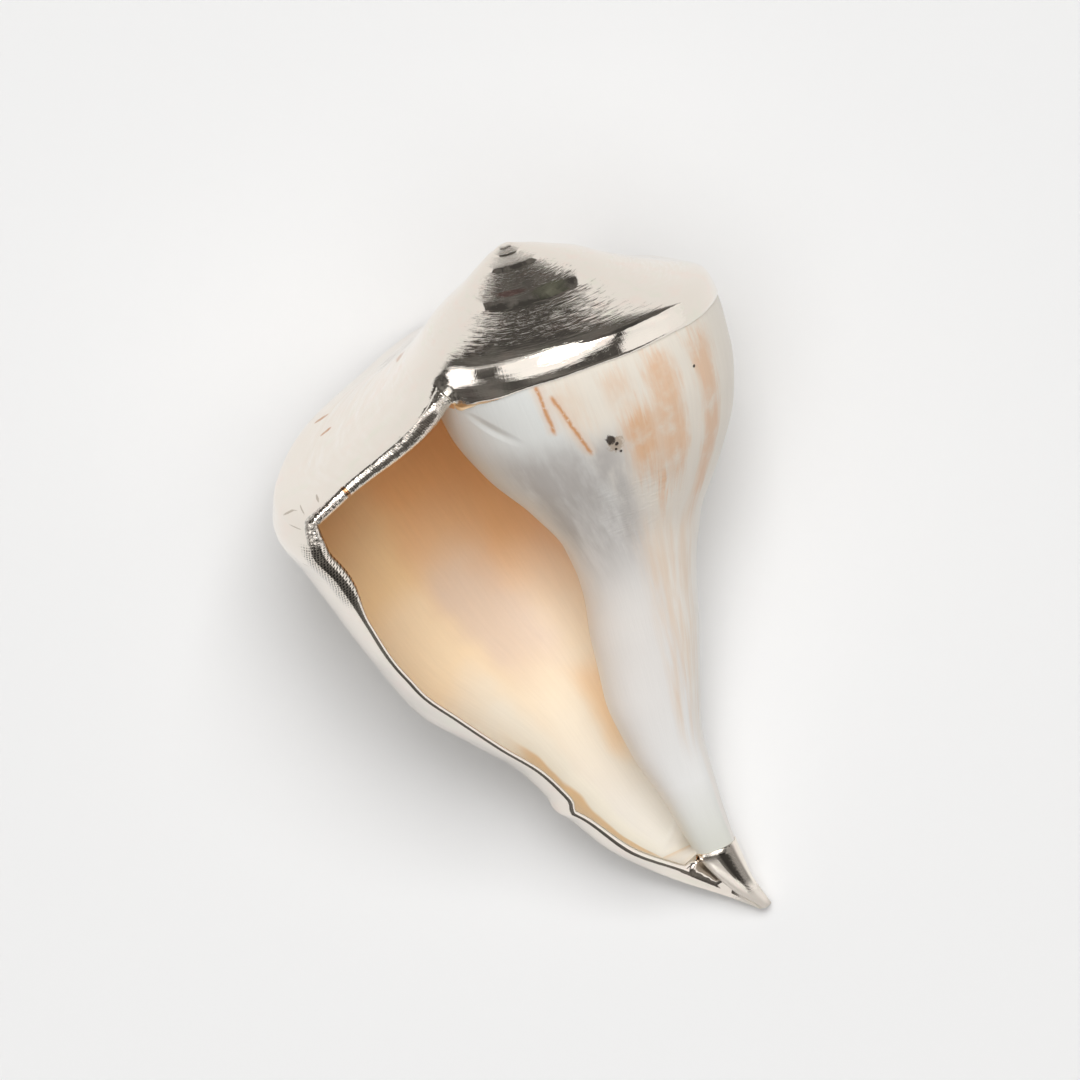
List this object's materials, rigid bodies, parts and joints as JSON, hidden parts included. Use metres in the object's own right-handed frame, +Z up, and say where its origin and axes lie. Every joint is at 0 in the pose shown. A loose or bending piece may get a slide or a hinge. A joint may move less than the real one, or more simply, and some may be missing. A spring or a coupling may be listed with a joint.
{
  "type": "whelk shell",
  "caption": "Left-handed whelk shell with a wide open mouth and a long tapering canal, plated with polished silver on its spire, shoulder, outer lip and tip.",
  "frame": {"origin": "centre of the bounding box in plan, on the surface that the shell lies on", "axes": "+Y towards the spire, with the canal's tip at -Y; +Z up, out of the mouth; the outer lip is on the -X side"},
  "size_m": [0.0926, 0.133, 0.0711],
  "materials": {
    "shell": "glossy porcelain-like shell, bluish white and tan outside, orange to cream inside the mouth",
    "plating": "polished silver plating with fine scratches and small worn copper-coloured marks"
  },
  "bodies": {
    "root": {"whelk_shell": "shell", "silver_plating": "plating"}
  },
  "joints": []
}
